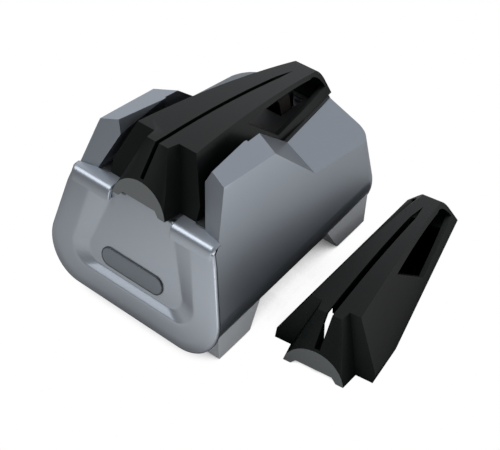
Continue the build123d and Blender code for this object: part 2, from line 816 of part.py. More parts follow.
with BuildPart() as drive_frame:
    with BuildSketch(level(0)):
        with Locations((0, frame_centre_y)):
            RectangleRounded(2 * frame_foot_half, frame_long, frame_margin / 2)
    extrude(amount=frame_foot_top)
    for plate_y in (front_plate_y, rear_plate_y):
        with BuildSketch(front(plate_y + plate_thick)):
            with BuildLine():
                Polyline((-plate_half, 0), (plate_half, 0), (plate_half, drive_z), (block_half, plate_top_z),
                         (-block_half, plate_top_z), (-plate_half, drive_z), close=True)
            make_face()
        extrude(amount=plate_thick)
    split(bisect_by=through(*base_top), keep=Keep.TOP)
    # guide block that carries the tension arm, on an upright behind the belt
    with BuildSketch(level(block_low_z)):
        with Locations((0, (block_front_y + rear_plate_y + plate_thick) / 2)):
            Rectangle(2 * block_half, rear_plate_y + plate_thick - block_front_y)
    extrude(amount=block_top_z - block_low_z)
    with BuildSketch(level(block_low_z + block_floor)):
        with Locations((0, arm_front_y + arm_thick / 2)):
            Rectangle(2 * (arm_half + arm_gap), arm_thick + 2 * arm_gap)
    extrude(amount=block_top_z - block_low_z, mode=Mode.SUBTRACT)
    add(disc(front_plate_y, rear_plate_y + plate_thick, drive_z, bearing_r + push_gap), mode=Mode.SUBTRACT)
    with BuildSketch(level(0)):
        with Locations((0, frame_centre_y)):
            with GridLocations(*screw_grid, 2, 2):
                Circle(screw_r + screw_gap)
    extrude(amount=frame_foot_top, mode=Mode.SUBTRACT)
write(drive_frame.part, "drive_frame")

for name, plate_y in (("front_bearing", front_plate_y), ("rear_bearing", rear_plate_y)):
    write(disc(plate_y, plate_y + plate_thick, drive_z, bearing_r, shaft_r + running), name)

shaft_end_y = rear_plate_y + plate_thick + shaft_over
write(disc(shaft_front_y, shaft_end_y, drive_z, shaft_r), "drive_shaft")
write(disc(belt_y - wheel_wide / 2, belt_y + wheel_wide / 2, drive_z, drive_r, shaft_r), "drive_wheel")
write(disc(motor_front_y + motor_cap + armature_gap, motor_back_y - motor_cap - armature_gap, drive_z,
           armature_r, shaft_r), "motor_armature")

blade_from = fan_hub_r - blade_root
blade_to = fan_r - blade_short
with BuildPart() as motor_fan:
    add(disc(fan_y, fan_y + fan_disc, drive_z, fan_r, shaft_r))
    add(disc(fan_y, fan_y + fan_wide, drive_z, fan_hub_r, shaft_r))
    with BuildSketch(front(fan_y + fan_wide)):
        with Locations((0, drive_z)):
            with PolarLocations((blade_from + blade_to) / 2, fan_blades):
                Rectangle(blade_to - blade_from, fan_disc)
    extrude(amount=fan_wide)
write(motor_fan.part, "motor_fan")

with BuildPart() as motor_can:
    add(disc(motor_front_y + motor_cap, motor_back_y, drive_z, motor_r, motor_r - motor_shell))
    add(disc(motor_back_y - motor_cap, motor_back_y, drive_z, motor_r, shaft_r + running))
write(motor_can.part, "motor_can")

with BuildPart() as motor_end_cap:
    add(disc(motor_front_y, motor_front_y + motor_cap, drive_z, motor_r, shaft_r + running))
write(motor_end_cap.part, "motor_end_cap")

with BuildPart() as motor_cradle:
    with BuildSketch(front(motor_back_y - motor_cap)):
        with Locations((0, drive_z / 2)):
            Rectangle(2 * cradle_half, drive_z)
    extrude(amount=motor_back_y - motor_front_y - cradle_short)
    split(bisect_by=through(*base_top), keep=Keep.TOP)
    split(bisect_by=level(drive_z - cradle_drop), keep=Keep.BOTTOM)
    add(disc(motor_front_y, motor_back_y, drive_z, motor_r + push_gap), mode=Mode.SUBTRACT)
write(motor_cradle.part, "motor_cradle")

with BuildPart() as tension_arm:
    with BuildSketch(front(arm_front_y + arm_thick)):
        with Locations((0, (arm_low_z + idler_z) / 2)):
            Rectangle(2 * arm_half, idler_z - arm_low_z)
        with Locations((0, idler_z)):
            Circle(arm_half)
            Circle(axle_r, mode=Mode.SUBTRACT)
    extrude(amount=arm_thick)
write(tension_arm.part, "tension_arm")

idler_front_y = belt_y - wheel_wide / 2
with BuildPart() as idler_axle:
    add(disc(idler_front_y - axle_over, arm_front_y + arm_thick, idler_z, axle_r))
    add(disc(idler_front_y - axle_over - axle_head, idler_front_y - axle_over, idler_z, axle_head_r))
write(idler_axle.part, "idler_axle")
write(disc(idler_front_y, belt_y + wheel_wide / 2, idler_z, idler_r, axle_r + running), "idler_wheel")


def belt_loop(gap):
    """Outline round both wheels, this far off them, for an upright plane. Local y is height."""
    with BuildSketch() as loop:
        with Locations((0, drive_z)):
            Circle(drive_r + gap)
        with Locations((0, idler_z)):
            Circle(idler_r + gap)
        make_hull()
    return loop.sketch


with BuildPart() as abrasive_belt:
    with BuildSketch(front(belt_y + belt_wide / 2)):
        add(belt_loop(belt_gap + belt_thick))
        add(belt_loop(belt_gap), mode=Mode.SUBTRACT)
    extrude(amount=belt_wide)
write(abrasive_belt.part, "abrasive_belt")

spring_low = block_low_z + block_floor
spring_high = arm_low_z - spring_low - spring_wire
spring_at = (machine_x, machine_y + arm_front_y + arm_thick / 2, spring_low + spring_wire / 2)
with BuildPart() as tension_spring:
    with BuildLine():
        coil = Helix(pitch=spring_high / spring_turns, height=spring_high, radius=spring_r, center=spring_at)
    with BuildSketch(Plane(origin=coil @ 0, z_dir=coil % 0)):
        Circle(spring_wire / 2)
    sweep()
write(tension_spring.part, "tension_spring")

# ---------------------------------------------------------------- switch, power inlet and circuit board
pivot_y = rear_y - rocker_in
rocker_room = rocker_r + rocker_gap
with BuildPart() as switch_bezel:
    with BuildSketch(front(rear_y + bezel_flange)):
        with Locations((switch_x, switch_z)):
            RectangleRounded(bezel_size[0] + 2 * bezel_rim, bezel_size[1] + 2 * bezel_rim, bezel_rim)
    extrude(amount=bezel_flange)
    with BuildSketch(front(rear_y)):
        with Locations((switch_x, switch_z)):
            Rectangle(*bezel_size)
    extrude(amount=bezel_deep)
    with BuildSketch(side(switch_x)):
        with Locations((pivot_y, switch_z)):
            Circle(rocker_room)
    extrude(amount=rocker_wide / 2 + rocker_gap, both=True, mode=Mode.SUBTRACT)
    with BuildSketch(side(switch_x)):
        with Locations((pivot_y, switch_z)):
            Circle(stub_r + running)
    extrude(amount=rocker_wide / 2 + stub_long + rocker_gap, both=True, mode=Mode.SUBTRACT)
write(switch_bezel.part, "switch_bezel")

tilt = radians(rocker_tilt)
rocker_plane = Plane(
    origin=(machine_x + switch_x, machine_y + pivot_y, switch_z),
    x_dir=(0, cos(tilt), -sin(tilt)),
    z_dir=(1, 0, 0),
)
face_in = rocker_in + bezel_flange
with BuildPart() as rocker_switch:
    with BuildSketch(rocker_plane):
        Circle(rocker_r)
        with BuildLine():
            Polyline((face_in - rocker_dip, 0), (face_in + rocker_flare, rocker_r), (2 * rocker_r, rocker_r),
                     (2 * rocker_r, -rocker_r), (face_in + rocker_flare, -rocker_r), close=True)
        make_face(mode=Mode.SUBTRACT)
    extrude(amount=rocker_wide / 2, both=True)
    with BuildSketch(rocker_plane):
        Circle(stub_r)
    extrude(amount=rocker_wide / 2 + stub_long, both=True)
write(rocker_switch.part, "rocker_switch")

with BuildPart() as power_inlet:
    with BuildSketch(front(rear_y + bezel_flange)):
        with Locations((inlet_x, inlet_z)):
            Circle(inlet_flange_r)
    extrude(amount=bezel_flange)
    with BuildSketch(front(rear_y)):
        with Locations((inlet_x, inlet_z)):
            Circle(inlet_r)
    extrude(amount=inlet_deep)
    with BuildSketch(front(rear_y + bezel_flange)):
        with Locations((inlet_x, inlet_z)):
            Circle(inlet_bore_r)
            Circle(contact_r, mode=Mode.SUBTRACT)
    extrude(amount=inlet_deep, mode=Mode.SUBTRACT)
write(power_inlet.part, "power_inlet")

with BuildPart() as circuit_board:
    with BuildSketch(level(board_z)):
        with Locations((board_x, board_y)):
            Rectangle(*board_size)
    extrude(amount=board_thick)
write(circuit_board.part, "circuit_board")

with BuildPart() as board_standoffs:
    with BuildSketch(level(0)):
        with Locations((board_x, board_y)):
            with GridLocations(board_size[0] - 2 * standoff_inset, board_size[1] - 2 * standoff_inset, 2, 2):
                Circle(standoff_r)
    extrude(amount=board_z)
    split(bisect_by=through(*base_top), keep=Keep.TOP)
write(board_standoffs.part, "board_standoffs")

# ---------------------------------------------------------------- the two guides
make_guide("knife_guide", seat_plane, seated_ridge, seated_slot)
make_guide("spare_guide", table_plane, spare_ridge, spare_slot)
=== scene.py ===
import math

import bmesh
import bpy
from mathutils import Matrix, Vector


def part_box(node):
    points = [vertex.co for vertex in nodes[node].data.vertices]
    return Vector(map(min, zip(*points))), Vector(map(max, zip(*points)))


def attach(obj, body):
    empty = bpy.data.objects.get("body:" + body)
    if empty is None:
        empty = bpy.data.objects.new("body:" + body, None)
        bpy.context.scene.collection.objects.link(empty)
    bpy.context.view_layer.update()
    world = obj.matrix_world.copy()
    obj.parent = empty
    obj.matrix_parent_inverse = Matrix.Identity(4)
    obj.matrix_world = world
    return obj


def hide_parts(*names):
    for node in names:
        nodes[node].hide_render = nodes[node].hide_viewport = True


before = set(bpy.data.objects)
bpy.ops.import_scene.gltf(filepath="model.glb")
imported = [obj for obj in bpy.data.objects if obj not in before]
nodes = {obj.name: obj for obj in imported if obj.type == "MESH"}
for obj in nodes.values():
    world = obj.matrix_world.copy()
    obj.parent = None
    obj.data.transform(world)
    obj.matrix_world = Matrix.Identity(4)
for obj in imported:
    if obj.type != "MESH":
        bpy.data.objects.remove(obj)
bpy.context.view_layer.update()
mm = 0.001

# ---- Camera, floor and light
# A white table in a pale studio. A large soft box hangs over the left front, and three weaker ones stand
# behind and at both sides. The room dims towards the horizon, so that satin and black surfaces show
# their form.
view_from = Vector((0.41025, -0.52212, 0.71510))
view_azimuth = math.radians(40.246)
view_elevation = math.radians(45.507)
view_roll = math.radians(-1.274)
view_lens = 83.52

back = Vector((math.sin(view_azimuth) * math.cos(view_elevation),
               -math.cos(view_azimuth) * math.cos(view_elevation),
               math.sin(view_elevation)))
level_right = (-back).cross(Vector((0, 0, 1))).normalized()
level_up = level_right.cross(-back)
right = math.cos(view_roll) * level_right + math.sin(view_roll) * level_up
up = -math.sin(view_roll) * level_right + math.cos(view_roll) * level_up
camera = bpy.data.objects.new("camera", bpy.data.cameras.new("camera"))
camera.matrix_world = Matrix.Translation(view_from) @ Matrix((right, up, back)).transposed().to_4x4()
camera.data.lens = view_lens
camera.data.sensor_width = 36
camera.data.clip_start = 0.01
bpy.context.scene.collection.objects.link(camera)
bpy.context.scene.camera = camera
bpy.context.scene.view_settings.view_transform = "Standard"


def linear(code, alpha=1.0):
    """An sRGB hex colour as linear values."""
    parts = [int(code[i:i + 2], 16) / 255 for i in (1, 3, 5)]
    return [p / 12.92 if p <= 0.04045 else ((p + 0.055) / 1.055) ** 2.4 for p in parts] + [alpha]


def put(tree, kind, inputs=None, **settings):
    """Adds one node. An input is a plain value, or the output of another node."""
    made = tree.nodes.new(kind)
    for name, value in settings.items():
        setattr(made, name, value)
    for name, value in (inputs or {}).items():
        if isinstance(value, bpy.types.NodeSocket):
            tree.links.new(value, made.inputs[name])
        else:
            made.inputs[name].default_value = value
    return made


def eased(tree, value, start, end, low=0.0, high=1.0):
    """Goes smoothly from low to high while value goes from start to end."""
    return put(tree, "ShaderNodeMapRange", {"Value": value, "From Min": start, "From Max": end,
                                            "To Min": low, "To Max": high},
               interpolation_type="SMOOTHSTEP").outputs[0]


def maths(tree, operation, *values):
    """One calculation. A value is a plain number, or the output of another node."""
    return put(tree, "ShaderNodeMath", dict(enumerate(values)), operation=operation).outputs[0]


def new_material(name):
    """An empty material, its node tree, and the node that gives the place on an object."""
    made = bpy.data.materials.new(name)
    made.use_nodes = True
    tree = made.node_tree
    tree.nodes.clear()
    return made, tree, put(tree, "ShaderNodeTexCoord")


def lamp(name, place, target, size, power):
    """A square studio lamp that looks at target. It lights matte surfaces, and reflections don't show it."""
    data = bpy.data.lights.new(name, "AREA")
    data.size = size
    data.energy = power
    made = bpy.data.objects.new(name, data)
    made.location = place
    made.rotation_euler = (Vector(target) - Vector(place)).to_track_quat("-Z", "Y").to_euler()
    made.visible_glossy = False
    bpy.context.scene.collection.objects.link(made)


lamp("key_lamp", (-0.5, -0.55, 1.15), (-0.05, 0, 0.1), 0.45, 9)
lamp("right_lamp", (0.95, -0.75, 0.75), (0.02, -0.04, 0.1), 0.5, 9)
lamp("back_lamp", (-0.25, 0.95, 0.95), (-0.05, 0, 0.12), 0.8, 5)

world = bpy.data.worlds.new("studio")
bpy.context.scene.world = world
world.use_nodes = True
studio = world.node_tree
studio.nodes.clear()
aim = put(studio, "ShaderNodeTexCoord")
height = put(studio, "ShaderNodeSeparateXYZ", {"Vector": aim.outputs["Generated"]})
glow = eased(studio, height.outputs["Z"], 0.0, 0.5, 0.36, 0.5)
# soft boxes: where they hang, the cosines where they start and are full, and how bright they are
for toward, start, full, strength in (((-0.45, -0.42, 0.79), 0.90, 0.97, 3.4),
                                      ((-0.25, 0.75, 0.61), 0.70, 0.95, 0.35),
                                      ((-0.80, 0.58, 0.15), 0.60, 0.95, 0.6),
                                      ((0.85, 0.45, 0.30), 0.60, 0.95, 0.35)):
    cosine = put(studio, "ShaderNodeVectorMath",
                 {0: aim.outputs["Generated"], 1: Vector(toward).normalized()}, operation="DOT_PRODUCT")
    box = eased(studio, cosine.outputs["Value"], start, full, 0.0, strength)
    glow = maths(studio, "ADD", glow, box)
room = put(studio, "ShaderNodeBackground", {"Color": linear("#f2f4f8"), "Strength": glow})
white = put(studio, "ShaderNodeBackground", {"Color": (1, 1, 1, 1), "Strength": 1.0})
ray = put(studio, "ShaderNodeLightPath")
either = put(studio, "ShaderNodeMixShader",
             {0: ray.outputs["Is Camera Ray"], 1: room.outputs[0], 2: white.outputs[0]})
put(studio, "ShaderNodeOutputWorld", {"Surface": either.outputs[0]})

# The table is white to the eye. Its white fades where something stands close over it, so that the hollow
# guides stay dark inside and the feet keep their soft shadow. Reflections see a glow that varies over the
# table, and matte light sees an even grey.
floor_half = 3.0
floor_mesh = bpy.data.meshes.new("floor")
floor_mesh.from_pydata([(-floor_half, -floor_half, 0), (floor_half, -floor_half, 0),
                        (floor_half, floor_half, 0), (-floor_half, floor_half, 0)], [], [(0, 1, 2, 3)])
floor = bpy.data.objects.new("floor", floor_mesh)
bpy.context.scene.collection.objects.link(floor)
laminate, tree, place = new_material("white_table_laminate")
ray = put(tree, "ShaderNodeLightPath")


def shade(tree, reach, black, gone):
    """White of the table: 0 where the sky is less open than black, 1 where it is more open than gone."""
    open_sky = put(tree, "ShaderNodeAmbientOcclusion", {"Distance": reach}, samples=16)
    return eased(tree, open_sky.outputs["AO"], black, gone)


# Where the rear of the spare guide stands, the table darkens as soon as anything is close over it, and
# elsewhere the shade is faint. That place is measured from about the middle of the guide's front end.
spare_front = (0.09505, -0.07942, 0)
spare_turn = math.radians(7.1)
spare_half = 0.0490
spare_taper = 0.1256
dark_middle = 0.143
dark_reach = 0.06
under = put(tree, "ShaderNodeMapping", {"Vector": place.outputs["Object"], "Location": spare_front,
                                        "Rotation": (0, 0, spare_turn)}, vector_type="TEXTURE")
across = put(tree, "ShaderNodeSeparateXYZ", {"Vector": under.outputs[0]})
aside = maths(tree, "ABSOLUTE", across.outputs["X"])
edge = maths(tree, "MULTIPLY_ADD", across.outputs["Y"], spare_taper, aside)
within = maths(tree, "LESS_THAN", edge, spare_half)
behind = maths(tree, "COMPARE", across.outputs["Y"], dark_middle, dark_reach)
shaded = maths(tree, "MULTIPLY", within, behind)
contact_reach = 0.04
faint_shade = shade(tree, contact_reach, 0.02, 0.45)
deep_shade = shade(tree, contact_reach, 0.8, 0.97)
fade = put(tree, "ShaderNodeMix", {"Factor": shaded, "A": faint_shade, "B": deep_shade})
seen = put(tree, "ShaderNodeEmission", {"Color": (1, 1, 1, 1), "Strength": fade.outputs[0]})
# in reflections the table dims towards the far left and towards the machine, and brightens to its right
spot = put(tree, "ShaderNodeSeparateXYZ", {"Vector": place.outputs["Object"]})
left_dim = eased(tree, spot.outputs["X"], -0.42, 0.02, 0.6, 2.9)
near_dim = eased(tree, spot.outputs["Y"], -0.24, -0.135, 1.0, 0.42)
right_rise = eased(tree, spot.outputs["X"], 0.16, 0.34, 0.5, 1.35)
falloff = maths(tree, "MULTIPLY", maths(tree, "MULTIPLY", left_dim, near_dim), right_rise)
mirror_reach = 0.35
mirror_white = maths(tree, "MULTIPLY", shade(tree, mirror_reach, 0.57, 1.0), falloff)
mirrored = put(tree, "ShaderNodeEmission", {"Color": (1, 1, 1, 1), "Strength": mirror_white})
paint = put(tree, "ShaderNodeBsdfDiffuse", {"Color": linear("#9a9da2")})
by_gloss = put(tree, "ShaderNodeMixShader",
               {0: ray.outputs["Is Glossy Ray"], 1: paint.outputs[0], 2: mirrored.outputs[0]})
either = put(tree, "ShaderNodeMixShader",
             {0: ray.outputs["Is Camera Ray"], 1: by_gloss.outputs[0], 2: seen.outputs[0]})
put(tree, "ShaderNodeOutputMaterial", {"Surface": either.outputs[0]})
floor_mesh.materials.append(laminate)


# ---- Housing
# The main moulding of the machine in blue-grey ABS: flared sides, two upstanding walls, the V notches
# and the sloping blade rests. It is injection moulded with a satin tool surface and softly broken edges.
def rounded(piece, width, turn, steps=3, weight=100):
    """Rounds a piece's edges that turn by more than this angle, and keeps its large faces flat."""
    bevel = piece.modifiers.new("edges", "BEVEL")
    bevel.width = width
    bevel.segments = steps
    bevel.limit_method = "ANGLE"
    bevel.angle_limit = math.radians(turn)
    bevel.miter_outer = "MITER_ARC"
    flat = piece.modifiers.new("flat_faces", "WEIGHTED_NORMAL")
    flat.weight = weight
    flat.keep_sharp = False


weld = 0.02 * mm
one_plane = math.radians(0.8)


def moulded(node_name, edge, turn=14, steps=3):
    """A piece with the CAD node's shape, its flat faces joined up and its edges rounded."""
    mesh = nodes[node_name].data.copy()
    shape = bmesh.new()
    shape.from_mesh(mesh)
    bmesh.ops.remove_doubles(shape, verts=shape.verts, dist=weld)
    bmesh.ops.dissolve_limit(shape, angle_limit=one_plane, verts=shape.verts, edges=shape.edges)
    for face in shape.faces:
        face.smooth = True
    shape.to_mesh(mesh)
    shape.free()
    mesh.materials.clear()
    made = bpy.data.objects.new(node_name + "_moulding", mesh)
    bpy.context.scene.collection.objects.link(made)
    rounded(made, edge, turn, steps)
    return made


def shown(piece, body, slot, material, *replaced):
    """Gives a piece its material, its body, and the CAD nodes that it stands for. The slot, its finish, is
    not used.
    """
    piece.data.materials.clear()
    piece.data.materials.append(material)
    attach(piece, body)
    if replaced:
        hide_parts(*replaced)


def moulded_plastic(name, low, high, roughness, grain_mm, grain_bump, flake=0.0, gloss=0.5, painted_reflection=None):
    """Moulded plastic: one dye through it, slightly uneven, with the tool's fine spark texture.
    The optional second tone is a painted reflection, laid on the faces that are marked."""
    made, tree, place = new_material(name)
    drift = put(tree, "ShaderNodeTexNoise",
                {"Vector": place.outputs["Object"], "Scale": 9.0, "Detail": 2.0, "Roughness": 0.5})
    dye = put(tree, "ShaderNodeMix",
              {"Factor": drift.outputs["Fac"], "A": linear(low), "B": linear(high)}, data_type="RGBA")
    # painted reflection: the marked faces take the paler second tone
    if painted_reflection:
        mark = put(tree, "ShaderNodeAttribute", attribute_name="painted_reflection_face")
        dye = put(tree, "ShaderNodeMix", {"Factor": mark.outputs["Fac"], "A": dye.outputs["Result"],
                                          "B": linear(painted_reflection)}, data_type="RGBA")
    grain = put(tree, "ShaderNodeTexNoise",
                {"Vector": place.outputs["Object"], "Scale": 1000 / grain_mm, "Detail": 2.0})
    relief = put(tree, "ShaderNodeBump",
                 {"Height": grain.outputs["Fac"], "Strength": grain_bump, "Distance": 0.0002})
    sheen = put(tree, "ShaderNodeMapRange",
                {"Value": drift.outputs["Fac"], "To Min": roughness - 0.03, "To Max": roughness + 0.03})
    surface = put(tree, "ShaderNodeBsdfPrincipled",
                  {"Base Color": dye.outputs["Result"], "Roughness": sheen.outputs[0],
                   "Normal": relief.outputs[0], "Metallic": flake, "Specular IOR Level": gloss})
    put(tree, "ShaderNodeOutputMaterial", {"Surface": surface.outputs[0]})
    return made


# ABS filled with fine aluminium flake: it takes the room's light and shade like satin metal
housing_abs = moulded_plastic("flake_filled_blue_grey_abs", "#8a9098", "#92989f", 0.34, 0.9, 0.1, 0.92)
shown(moulded("housing", 0.8 * mm), "machine", "body_plastic", housing_abs, "housing")

# ---- Front fascia
# A separate moulding in slightly lighter ABS that covers the housing's front: a raised frame
# and a sunken U-shaped panel, with a tab at its top that locates the guide.
fascia_abs = moulded_plastic("flake_filled_grey_abs", "#8f959c", "#989da4", 0.34, 0.9, 0.08, 0.92)
machine_x = (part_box("front_fascia")[0].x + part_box("front_fascia")[1].x) / 2
machine_y = -106.72 * mm
lip_z = 112.9 * mm
lean = math.radians(15.5)
up_fascia = Vector((0, math.sin(lean), math.cos(lean)))
out_fascia = Vector((0, -math.cos(lean), math.sin(lean)))


def on_fascia(x, w, deep=0.0):
    """A point of the fascia: x from its middle, w up from the lip line, deep behind its face, in mm."""
    start = Vector((machine_x + x * mm, machine_y, lip_z))
    return start + up_fascia * (w * mm) - out_fascia * (deep * mm)


def half_u(top, low_corner, radius, sides=26, bends=22, foots=14):
    """Right half of a U-shaped outline, from the lip line down and round to the middle of its foot."""
    flare = (low_corner[0] - top[0]) / (top[1] - low_corner[1])
    start = Vector((top[0] + flare * top[1], 0))
    corner = Vector(low_corner)
    along = (corner - start).normalized()
    turn = math.acos(along.dot(Vector((-1, 0))))
    reach = radius / math.tan((math.pi - turn) / 2)
    first = corner - along * reach
    last = corner + Vector((-reach, 0))
    centre = last + Vector((0, radius))
    points = [start.lerp(first, i / sides) for i in range(sides)]
    begin = math.atan2(first.y - centre.y, first.x - centre.x)
    for i in range(bends):
        angle = begin + (-math.pi / 2 - begin) * i / bends
        points.append(centre + radius * Vector((math.cos(angle), math.sin(angle))))
    points += [last.lerp(Vector((0, last.y)), i / foots) for i in range(foots + 1)]
    return points


def joined_rings(shape, rings, closed=False):
    """Faces between rows of points that match one to one."""
    rows = [[shape.verts.new(point) for point in ring] for ring in rings]
    for near, far in zip(rows, rows[1:]):
        pairs = len(near) if closed else len(near) - 1
        for i in range(pairs):
            j = (i + 1) % len(near)
            shape.faces.new((near[i], near[j], far[j], far[i]))
    return rows


same_point = 0.001 * mm


def mesh_piece(name, shape, closed=False):
    """Turns a bmesh into an object at the origin, with its doubles merged and its faces outwards."""
    bmesh.ops.remove_doubles(shape, verts=shape.verts, dist=same_point)
    bmesh.ops.recalc_face_normals(shape, faces=shape.faces)
    if closed and shape.calc_volume(signed=True) < 0:
        bmesh.ops.reverse_faces(shape, faces=shape.faces)
    for face in shape.faces:
        face.smooth = True
    mesh = bpy.data.meshes.new(name)
    shape.to_mesh(mesh)
    shape.free()
    made = bpy.data.objects.new(name, mesh)
    bpy.context.scene.collection.objects.link(made)
    return made


fascia_half = 72
fascia_flare = 0.25
fascia_long = 101.5
fascia_wall = 2.4 * mm
outline = half_u((fascia_half, 0), (fascia_half + fascia_flare * fascia_long, -fascia_long), 33)
recess_outer = half_u((51.5, -9), (68.0, -80.3), 17)
recess_inner = half_u((31, -8), (54, -74.4), 13)
recess_deep = 3.8
outer_soft = 0.07
inner_soft = 0.05
frame_start = 1.7                  # where the flat frame begins, in from the outline
panel_half = 30.5
panel_foot = -45                   # the panel's rows end on its middle line, which runs down to here
under_lip = 4.0
tab_rise = 4
tab_half = 19
tab_ramp = 4
settled = 6                        # points down the outline over which the top edge's shift dies out
edge_steps = ((3.5, 0.0), (2.0, 0.0), (1.2, 0.12), (0.55, 0.45), (0.13, 1.0))    # depth, inset
edge_ease = (20, 60)               # the inset grows over these first mm, across and down
frame_steps = (0, 0.35, 0.65, 0.8, 0.9, 0.96)
chamfer_steps = (0, 0.03, 0.06, 0.1, 0.15, 0.22, 0.34, 0.5, 0.66, 0.78, 0.86, 0.92, 0.96, 1.0)
panel_steps = (0.02, 0.04, 0.07, 0.12, 0.2, 0.34, 0.5, 0.66, 0.82, 1.0)


def recess_share(s):
    """How far down the chamfer runs, from 0 at the frame to 1 at the panel, with both ends eased."""
    return 0.5 * (1 + math.hypot(s, outer_soft) - math.hypot(s - 1, inner_soft))


def top_shift(x, i, on_panel):
    """Shift of the top edge: up in a tab that locates the guide, and down under the lips beside the panel."""
    rise = tab_rise * max(0, min(1, (tab_half - abs(x)) / tab_ramp)) if on_panel else 0
    return (rise - (under_lip if x > panel_half else 0)) * max(0, 1 - i / settled)


flat = []
for i, (outer, far, near) in enumerate(zip(outline, recess_outer, recess_inner)):
    spine = Vector((0, panel_foot * i / (len(outline) - 1)))
    chamfer = (near - far).length
    frame_wide = (far - outer).length
    panel_wide = (spine - near).length
    start = outer.lerp(far, frame_start / frame_wide)
    row = [(start.lerp(far, r), (r - 1) * frame_wide / chamfer) for r in frame_steps]
    row += [(far.lerp(near, r), r) for r in chamfer_steps]
    row += [(near.lerp(spine, r), 1 + r * panel_wide / chamfer) for r in panel_steps]
    flat.append(row)
panel_column = len(frame_steps) + len(chamfer_steps)
rings = []
for deep, inset in edge_steps:
    rings.append([(p.x - inset * min(1, p.x / edge_ease[0]),
                   p.y + inset * min(1, -p.y / edge_ease[1]) + top_shift(p.x, i, False), deep)
                  for i, p in enumerate(outline)])
for k in range(len(flat[0])):
    ring = []
    for i, row in enumerate(flat):
        point, share = row[k]
        ring.append((point.x, point.y + top_shift(point.x, i, k > panel_column),
                     recess_deep * recess_share(share)))
    rings.append(ring)
fascia = bmesh.new()
whole_rings = []
for ring in rings:
    whole = ring + [(-x, w, deep) for x, w, deep in reversed(ring[:-1])]
    whole_rings.append([on_fascia(*place) for place in whole])
joined_rings(fascia, whole_rings)
fascia_panel = mesh_piece("fascia_panel", fascia)
shell = fascia_panel.modifiers.new("wall", "SOLIDIFY")
shell.thickness = fascia_wall
shell.offset = -1
shown(fascia_panel, "machine", "fascia_plastic", fascia_abs, "front_fascia")

# ---- Lips
# Two rolled lips, moulded in one with the fascia. Each is a flat flange on the housing's front shelf
# that rolls over at the front and runs out down the fascia's face.
lip_inner = 30.8
lip_outer = 72.6
lip_top = 113.3
crest_y = 4.4
roll_radius = 6.0
roll_turn = math.radians(68)
lip_low = (-3.13, 102.0)
lip_root = 3.0
flange_thick = 1.4
flange_rear = ((lip_inner, 13.6), (43.2, 13.6), (45.2, 11.9), (53.8, 11.4), (lip_outer, 8.3))
flange_dip = 0.9                   # the most that the flat top sinks towards a lip's ends
flange_middle = 0.7                # a point on the flat top, as a share of the way back
crest_flat = 0.8                   # the flat top starts this far behind the crest
root_lean = 0.4
roll_steps = 14
run_out_steps = 8


def lip_back(x):
    """Rear edge of the flange at this distance from the middle."""
    for (x0, y0), (x1, y1) in zip(flange_rear, flange_rear[1:]):
        if x <= x1:
            return y0 + (y1 - y0) * (x - x0) / (x1 - x0)
    return flange_rear[-1][1]


def lip_profile(x, inset):
    """Section of a lip, drawn in by inset: flat top, roll, run-out, and its root behind the face."""
    back_y = lip_back(x)
    top = lip_top - min(inset, flange_dip)
    points = [(back_y, lip_top - flange_thick), (back_y, top), (back_y * flange_middle, top),
              (crest_y + crest_flat, top), (crest_y, lip_top - inset)]
    radius = roll_radius - inset
    for i in range(1, roll_steps + 1):
        angle = math.pi / 2 + roll_turn * i / roll_steps
        points.append((crest_y + radius * math.cos(angle), lip_top - roll_radius + radius * math.sin(angle)))
    start = Vector(points[-1])
    end = Vector((lip_low[0] + inset / 2, lip_low[1] + inset))
    tangent = Vector((-math.cos(roll_turn), -math.sin(roll_turn)))
    middle = start + tangent * (end - start).length / 2
    for i in range(1, run_out_steps + 1):
        share = i / run_out_steps
        points.append(start.lerp(middle, share).lerp(middle.lerp(end, share), share))
    points += [(lip_low[0] + lip_root, end.y), (lip_root - root_lean, lip_top - flange_thick)]
    return points


lips = bmesh.new()
# stations along a lip, each with how far its section is drawn in to round the lip's two ends
inner_round = 1.0
outer_round = 3.4
plain_stations = (34, 37, 40, 43.2, 45.2, 49, 53.8, 57, 60, 63, 66)
bends = (0, 0.35, 0.65, 0.9, 1.1, 1.25)
lip_stations = [(lip_inner + inner_round * (1 - math.sin(a)), inner_round * (1 - math.cos(a)))
                for a in reversed(bends)]
lip_stations += [(x, 0.0) for x in plain_stations]
lip_stations += [(lip_outer - outer_round * (1 - math.sin(a)), outer_round * (1 - math.cos(a)))
                 for a in bends]
for hand in (-1, 1):
    rings = []
    for x, inset in lip_stations:
        rings.append([Vector((machine_x + hand * x * mm, machine_y + y * mm, z * mm))
                      for y, z in lip_profile(x, inset)])
    rows = joined_rings(lips, rings, closed=True)
    lips.faces.new(rows[0])
    lips.faces.new(rows[-1])
fascia_lips = mesh_piece("fascia_lips", lips, closed=True)
rounded(fascia_lips, 0.3 * mm, 35, weight=50)
shown(fascia_lips, "machine", "fascia_plastic", fascia_abs)

# ---- Badge
# A bare oval badge of dark gloss plastic with a raised rim, glued to the fascia's panel.
badge_dark = moulded_plastic("dark_badge_plastic", "#43494e", "#4a5055", 0.3, 0.6, 0.04)
rim_black = moulded_plastic("black_rim_plastic", "#1c2023", "#22262a", 0.35, 0.6, 0.04)
badge_w = -62.2
badge_x = -2.6
badge_long = 64.4
badge_wide = 17.0


def badge_ring(inset, rise, bends=20):
    """Oval outline of the badge, drawn in by inset and standing rise above the panel."""
    radius = badge_wide / 2 - inset
    straight = (badge_long - badge_wide) / 2
    points = []
    for side in (1, -1):
        for i in range(bends + 1):
            angle = math.pi * (i / bends - 0.5) if side == 1 else math.pi * (i / bends + 0.5)
            points.append(on_fascia(badge_x + side * straight + radius * math.cos(angle),
                                    badge_w + radius * math.sin(angle), recess_deep - rise))
    return points


